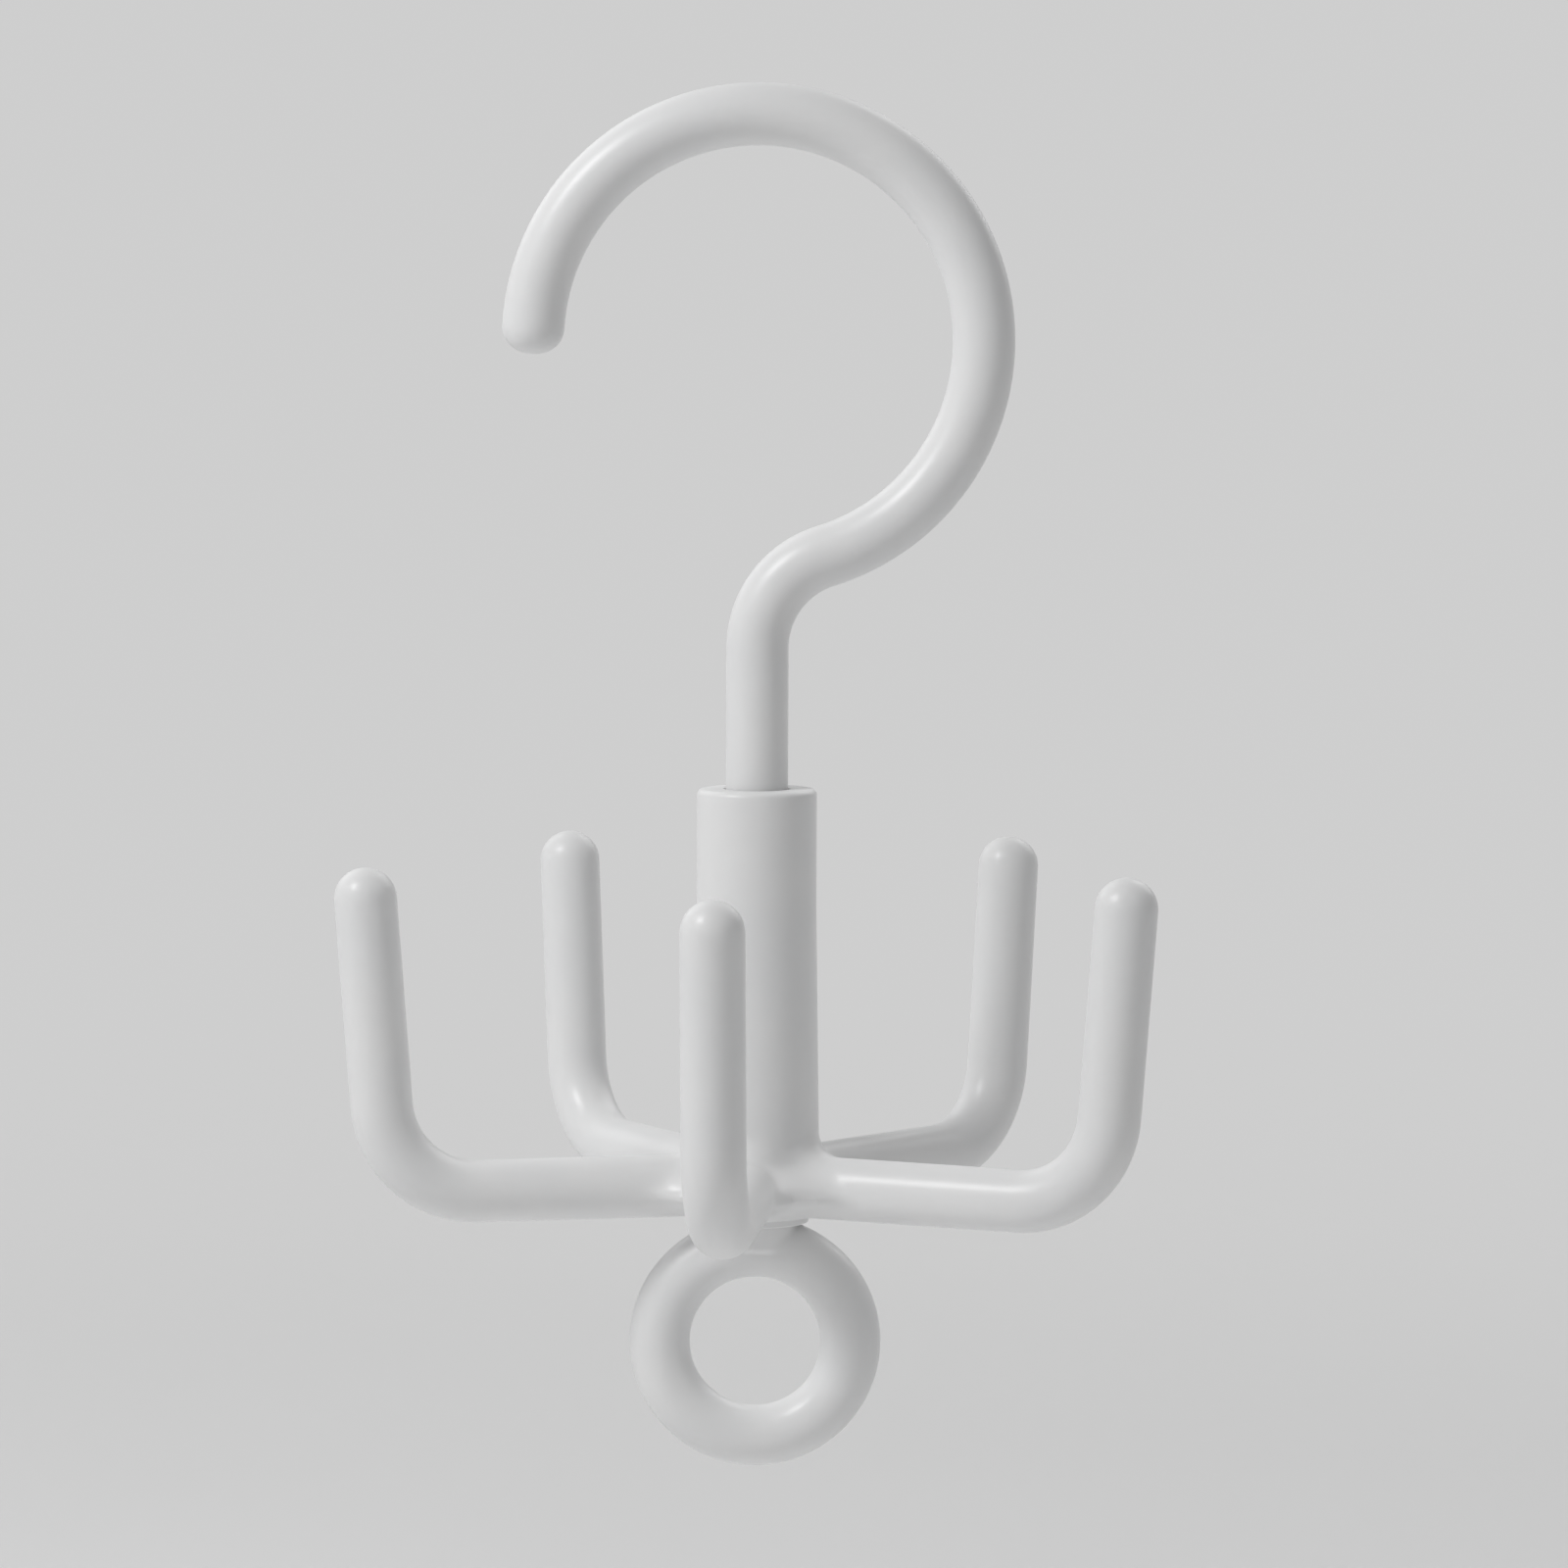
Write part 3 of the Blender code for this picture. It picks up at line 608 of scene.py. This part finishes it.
def neck_patch(quarter, start):
    """Rings of points from the patch's border on the ring to the crease, and up the neck's cone."""
    tube = np.array(circle(PLUG_RADIUS, HUB_BOTTOM_Z, RING_TUBE_SIDES, start))
    crease = neck_crease(tube)
    height = crease[:, 2] - RING_Z
    wraps = np.arctan2(crease[:, 1], np.hypot(crease[:, 0], height) - RING_RADIUS)
    target = np.stack([np.arctan2(crease[:, 0], height), wraps], axis=1)
    border = neck_border(quarter)
    shares = 1 - (1 - np.linspace(0, 1, PATCH_STEPS + 1)) ** CREASE_CROWDING
    rings = [[ring_point(*pair) for pair in border + (target - border) * share] for share in shares]
    shares = np.linspace(0, 1, PATCH_STEPS // 2 + 1)[1:] ** CREASE_CROWDING
    rings += [crease + (tube - crease) * share for share in shares]
    return [rings[0], *[settle(ring, neck_field) for ring in rings[1:-1]], rings[-1]]


def plug_profile():
    """(radius, height) points from the neck's top, up the plug and down into its hollow."""
    hollow = PLUG_RADIUS - PLUG_WALL
    floor = HUB_BOTTOM_Z + PLUG_FLOOR
    return [
        (PLUG_RADIUS, HUB_BOTTOM_Z),
        (PLUG_RADIUS, BEAD_Z - BEAD_HEIGHT / 2),
        (PLUG_RADIUS + BEAD_PROUD, BEAD_Z),
        (PLUG_RADIUS, BEAD_Z + BEAD_HEIGHT / 2),
        (PLUG_RADIUS, PLUG_TOP_Z - PLUG_EDGE),
        (PLUG_RADIUS - PLUG_EDGE, PLUG_TOP_Z),
        (hollow, PLUG_TOP_Z),
        (hollow, floor),
        (0, floor),
    ]


def make_ring_plug():
    """Ring, neck and plug. The neck's patch takes the place of that part of the ring's own grid."""
    quarter = RING_TUBE_SIDES // 4
    skin = Skin()
    start = -math.pi / 4
    skin.strips([skin.loop(ring) for ring in neck_patch(quarter, start)])
    skin.strips([skin.loop(row) for row in turned_rows(plug_profile(), RING_TUBE_SIDES, start)])
    inner_wraps = spread(NECK_PATCH_WRAP, math.tau - NECK_PATCH_WRAP, math.tau / RING_TUBE_SIDES)
    below = [[ring_point(turn, wrap) for wrap in inner_wraps]
             for turn in centred(NECK_PATCH_TURN, quarter)]
    skin.strips([skin.loop(row) for row in below], closed=False)
    far_turns = spread(NECK_PATCH_TURN, math.tau - NECK_PATCH_TURN, math.tau / RING_STEPS)
    around = centred(NECK_PATCH_WRAP, quarter)[:-1] + inner_wraps[:-1]
    skin.strips([skin.loop([ring_point(turn, wrap) for wrap in around]) for turn in far_turns])
    return skin.piece("ring_and_plug")


def make_washer():
    """Thrust washer with rounded stamped edges."""
    skin = Skin()
    edge = WASHER_EDGE
    hole = WASHER_HOLE_RADIUS
    profile = [
        *corner(WASHER_RADIUS - edge, WASHER_TOP_Z - edge, edge, 1, 0),
        *corner(WASHER_RADIUS - edge, WASHER_BOTTOM_Z + edge, edge, 0, -1),
        *corner(hole + edge, WASHER_BOTTOM_Z + edge, edge, 3, 2),
        *corner(hole + edge, WASHER_TOP_Z - edge, edge, 2, 1),
    ]
    rows = [skin.loop(row) for row in turned_rows(profile, 4 * SIDE_STEPS)]
    skin.strips(rows + rows[:1])
    return skin.piece("steel_washer")


def thread_ring(height, sides, fade):
    """One row of the screw's thread: the crest moves round as the row climbs."""
    points = []
    for i in range(sides):
        a = math.tau * i / sides
        phase = (height / SCREW_PITCH - i / sides) % 1 - 1 / 2
        crest = max(0, 1 - abs(phase) * 2 / THREAD_FOOT_SHARE)
        radius = SCREW_CORE_RADIUS + (SCREW_RADIUS - SCREW_CORE_RADIUS) * crest * fade
        points.append((radius * math.cos(a), radius * math.sin(a), height))
    return points


def screw_rings():
    """Rings of the screw from the crown of its head, below, up to the blunt point."""
    crown = SCREW_HEAD_HEIGHT - SCREW_HEAD_RIM
    head_top = HEAD_BOTTOM_Z + SCREW_HEAD_HEIGHT
    rings = [circle(0, HEAD_BOTTOM_Z, SCREW_SIDES)]
    for i in range(1, DOME_STEPS + 1):
        a = math.pi / 2 * i / DOME_STEPS
        height = HEAD_BOTTOM_Z + crown * (1 - math.cos(a))
        rings.append(circle(SCREW_HEAD_RADIUS * math.sin(a), height, SCREW_SIDES))
    rings.append(circle(SCREW_HEAD_RADIUS, head_top, SCREW_SIDES))
    rings.append(circle(SCREW_RADIUS, head_top, SCREW_SIDES))
    point_start = SCREW_END_Z - SCREW_POINT_LENGTH
    for height in spread(head_top, point_start, SCREW_PITCH / THREAD_STEPS)[1:]:
        fade = min(1, (height - head_top) / SCREW_PITCH, (point_start - height) / SCREW_PITCH)
        rings.append(thread_ring(height, SCREW_SIDES, fade))
    rings.append(circle(SCREW_CORE_RADIUS * SCREW_POINT_SHARE, SCREW_END_Z, SCREW_SIDES))
    rings.append(circle(0, SCREW_END_Z, SCREW_SIDES))
    return rings


def recess_bar(name, span, width):
    """One tapered bar of the cross recess."""
    skin = Skin()
    rows = []
    start, end = HEAD_BOTTOM_Z - CUT_OVERRUN, HEAD_BOTTOM_Z + RECESS_DEPTH
    for height, share in ((start, 1), (end, RECESS_TAPER_SHARE)):
        x, y = span / 2 * share, width / 2 * share
        rows.append(skin.loop([(-x, -y, height), (x, -y, height), (x, y, height), (-x, y, height)]))
    skin.strips(rows)
    skin.bm.faces.new(rows[0])
    skin.bm.faces.new(rows[1])
    return skin.piece(name)


def make_screw():
    """Pan head screw with a helical thread and a cross recess."""
    skin = Skin()
    skin.strips([skin.loop(ring) for ring in screw_rings()])
    screw = skin.piece("pan_head_screw")
    bars = [recess_bar("bar_x", RECESS_SPAN, RECESS_WIDTH)]
    bars.append(recess_bar("bar_y", RECESS_WIDTH, RECESS_SPAN))
    for bar in bars:
        cut = screw.modifiers.new("cut", "BOOLEAN")
        cut.operation = "DIFFERENCE"
        cut.solver = "EXACT"
        cut.object = bar
    shape = screw.evaluated_get(bpy.context.evaluated_depsgraph_get())
    mesh = bpy.data.meshes.new_from_object(shape)
    screw.modifiers.clear()
    screw.data = mesh
    for bar in bars:
        bpy.data.objects.remove(bar)
    return screw


class Nodes:
    """The node tree of a material or of the world, with short calls to add and link nodes."""

    def __init__(self, owner):
        owner.use_nodes = True
        self.tree = owner.node_tree
        self.shader = self.tree.nodes.get("Principled BSDF") or self.tree.nodes["Background"]
        self.output = self.tree.nodes.get("Material Output") or self.tree.nodes["World Output"]

    def add(self, kind, **values):
        node = self.tree.nodes.new(kind)
        for key, value in values.items():
            if hasattr(node, key):
                setattr(node, key, value)
            else:
                node.inputs[key.replace("_", " ")].default_value = value
        return node

    def link(self, source, target):
        self.tree.links.new(source, target)

    def noise(self, scale, detail):
        """3-D noise in object space, so that it keeps still on the piece."""
        coordinates = self.add("ShaderNodeTexCoord")
        noise = self.add("ShaderNodeTexNoise", Scale=scale, Detail=detail)
        self.link(coordinates.outputs["Object"], noise.inputs["Vector"])
        return noise.outputs["Fac"]

    def vary(self, name, noise, low, high):
        """Lets noise move one of the shader's values through a range."""
        mapping = self.add("ShaderNodeMapRange", To_Min=low, To_Max=high)
        self.link(self.noise(*noise), mapping.inputs["Value"])
        self.link(mapping.outputs["Result"], self.shader.inputs[name])

    def tint(self, noise, colours):
        """Lets noise mix the shader's colour from two colours."""
        ramp = self.add("ShaderNodeValToRGB")
        for element, colour, position in zip(ramp.color_ramp.elements, colours, RAMP_ENDS):
            element.color = (*colour, 1)
            element.position = position
        self.link(self.noise(*noise), ramp.inputs["Fac"])
        self.link(ramp.outputs["Color"], self.shader.inputs["Base Color"])

    def bump(self, *layers):
        """Stacked bumps, each (noise, depth)."""
        before = None
        for noise, depth in layers:
            bump = self.add("ShaderNodeBump", Strength=1.0, Distance=depth)
            self.link(self.noise(*noise), bump.inputs["Height"])
            if before:
                self.link(before, bump.inputs["Normal"])
            before = bump.outputs["Normal"]
        self.link(before, self.shader.inputs["Normal"])

    def math(self, operation, first, second):
        node = self.add("ShaderNodeMath", operation=operation)
        self.link(first, node.inputs[0])
        self.link(second, node.inputs[1])
        return node.outputs[0]

    def mix(self, share, first, second):
        """The first shader where the share is 0, and the second where it is 1."""
        node = self.add("ShaderNodeMixShader")
        self.link(share, node.inputs[0])
        self.link(first.outputs[0], node.inputs[1])
        self.link(second.outputs[0], node.inputs[2])
        return node

    def showing(self):
        """1 for rays that show the background, straight or mirrored, and 0 for rays of light."""
        rays = self.add("ShaderNodeLightPath").outputs
        mirrored = self.math("MAXIMUM", rays["Is Glossy Ray"], rays["Is Transmission Ray"])
        return self.math("MAXIMUM", rays["Is Camera Ray"], mirrored)


def white_plastic(name):
    """Satin moulded plastic: faint clouding of the colour, uneven gloss and a fine moulded skin."""
    material = bpy.data.materials.new(name)
    nodes = Nodes(material)
    nodes.shader.inputs["IOR"].default_value = PLASTIC_IOR
    nodes.shader.inputs["Specular IOR Level"].default_value = PLASTIC_SPECULAR_LEVEL
    nodes.tint(PLASTIC_CLOUDS, PLASTIC_COLOURS)
    nodes.vary("Roughness", PLASTIC_GLOSS_PATCHES, *PLASTIC_ROUGHNESS)
    nodes.bump((PLASTIC_WAVES, PLASTIC_WAVE_DEPTH), (PLASTIC_GRAIN, PLASTIC_GRAIN_DEPTH))
    return material


def plated_steel(name, roughness):
    """Zinc plated steel with fine grain and cloudy plating."""
    material = bpy.data.materials.new(name)
    nodes = Nodes(material)
    nodes.shader.inputs["Metallic"].default_value = 1.0
    nodes.tint(STEEL_CLOUDS, STEEL_COLOURS)
    nodes.vary("Roughness", STEEL_GLOSS_PATCHES, *roughness)
    nodes.bump((STEEL_GRAIN, STEEL_GRAIN_DEPTH))
    return material


def dress(piece, material, body, node):
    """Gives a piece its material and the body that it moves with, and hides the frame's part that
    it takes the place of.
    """
    piece.data.materials.clear()
    piece.data.materials.append(material)
    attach(piece, body)
    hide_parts(node)


def make_pieces():
    dress(make_top_hook(), white_plastic("hook_white"), "hook", "top_hook")
    dress(make_claw_body(), white_plastic("claw_white"), "claws", "claw_body")
    dress(make_ring_plug(), white_plastic("ring_white"), "claws", "ring_plug")
    washer_zinc = plated_steel("washer_zinc", WASHER_ROUGHNESS)
    dress(make_washer(), washer_zinc, "hook", "thrust_washer")
    screw_zinc = plated_steel("screw_zinc", SCREW_ROUGHNESS)
    dress(make_screw(), screw_zinc, "hook", "retaining_screw")


def make_camera():
    """The photograph's view: a long lens from just below the crown, looking slightly down."""
    yaw, pitch, roll = CAMERA_YAW, CAMERA_PITCH, CAMERA_ROLL
    level = math.cos(pitch)
    ahead = Vector((math.sin(yaw) * level, math.cos(yaw) * level, -math.sin(pitch)))
    right = Vector((math.cos(yaw), -math.sin(yaw), 0))
    up = right.cross(ahead)
    level_right = right * math.cos(roll) + up * math.sin(roll)
    level_up = up * math.cos(roll) - right * math.sin(roll)
    data = bpy.data.cameras.new("camera")
    data.sensor_width = SENSOR_WIDTH_MM
    data.lens = SENSOR_WIDTH_MM * CAMERA_FOCAL_SHARE
    data.clip_start, data.clip_end = CAMERA_CLIP
    camera = bpy.data.objects.new("camera", data)
    turn = Matrix((level_right, level_up, -ahead)).transposed()
    camera.matrix_world = Matrix.LocRotScale(CAMERA_PLACE, turn.to_quaternion(), None)
    bpy.context.scene.collection.objects.link(camera)
    bpy.context.scene.camera = camera


def pale_paper():
    """Matt paper with a faint cloudiness. Far from the object it fades into the plain background,
    and from below it lets the camera see through."""
    material = bpy.data.materials.new("pale_paper")
    nodes = Nodes(material)
    nodes.tint(PAPER_CLOUDS, PAPER_COLOURS)
    nodes.shader.inputs["Roughness"].default_value = PAPER_ROUGHNESS
    nodes.shader.inputs["Specular IOR Level"].default_value = 0.0
    geometry = nodes.add("ShaderNodeNewGeometry").outputs
    distance = nodes.add("ShaderNodeVectorMath", operation="LENGTH")
    nodes.link(geometry["Position"], distance.inputs[0])
    fade = nodes.add("ShaderNodeMapRange", interpolation_type="SMOOTHSTEP")
    fade.inputs["From Min"].default_value, fade.inputs["From Max"].default_value = PAPER_FADE
    nodes.link(distance.outputs["Value"], fade.inputs["Value"])
    plain = nodes.add("ShaderNodeEmission", Color=BACKGROUND)
    shown = nodes.mix(fade.outputs["Result"], nodes.shader, plain)
    bounce = nodes.add("ShaderNodeBsdfDiffuse", Color=PAPER_BOUNCE)
    faded = nodes.mix(nodes.showing(), bounce, shown)
    rays = nodes.add("ShaderNodeLightPath").outputs
    below = nodes.math("MULTIPLY", geometry["Backfacing"], rays["Is Camera Ray"])
    sheet = nodes.mix(below, faded, nodes.add("ShaderNodeBsdfTransparent"))
    nodes.link(sheet.outputs[0], nodes.output.inputs["Surface"])
    return material


def make_stage():
    """A pale floor that sweeps up into a backdrop."""
    profile = [(FLOOR_NEAR_Y, FLOOR_Z)]
    for i in range(SWEEP_STEPS + 1):
        a = math.pi / 2 * i / SWEEP_STEPS
        height = FLOOR_Z + SWEEP_RADIUS * (1 - math.cos(a))
        profile.append((FLOOR_FAR_Y + SWEEP_RADIUS * math.sin(a), height))
    profile.append((FLOOR_FAR_Y + SWEEP_RADIUS, BACKDROP_TOP))
    skin = Skin()
    ends = (-STAGE_HALF_WIDTH, STAGE_HALF_WIDTH)
    skin.strips([skin.loop([(x, y, z) for x in ends]) for y, z in profile], closed=False)
    floor = skin.piece("pale_sweep")
    floor.data.flip_normals()  # the paper's face looks up
    floor.data.materials.append(pale_paper())


def area_light(name, location, size, power):
    data = bpy.data.lights.new(name, "AREA")
    data.shape = "DISK"
    data.size = size
    data.energy = power
    lamp = bpy.data.objects.new(name, data)
    lamp.location = location
    ahead = Vector(LAMP_TARGET) - Vector(location)
    lamp.rotation_euler = ahead.to_track_quat("-Z", "Y").to_euler()
    bpy.context.scene.collection.objects.link(lamp)


def make_light():
    """Soft studio light: one lamp at the upper left, two weak ones behind for the rims, and an
    even white world, which the camera sees as the plain background."""
    for name, values in LAMPS.items():
        area_light(name, *values)
    world = bpy.data.worlds.new("world")
    bpy.context.scene.world = world
    nodes = Nodes(world)
    nodes.shader.inputs["Color"].default_value = WORLD_COLOUR
    nodes.shader.inputs["Strength"].default_value = WORLD_STRENGTH
    plain = nodes.add("ShaderNodeBackground", Color=BACKGROUND)
    surroundings = nodes.mix(nodes.showing(), nodes.shader, plain)
    nodes.link(surroundings.outputs[0], nodes.output.inputs["Surface"])


bpy.context.scene.view_settings.view_transform = "Standard"
make_camera()
make_stage()
make_light()
make_pieces()
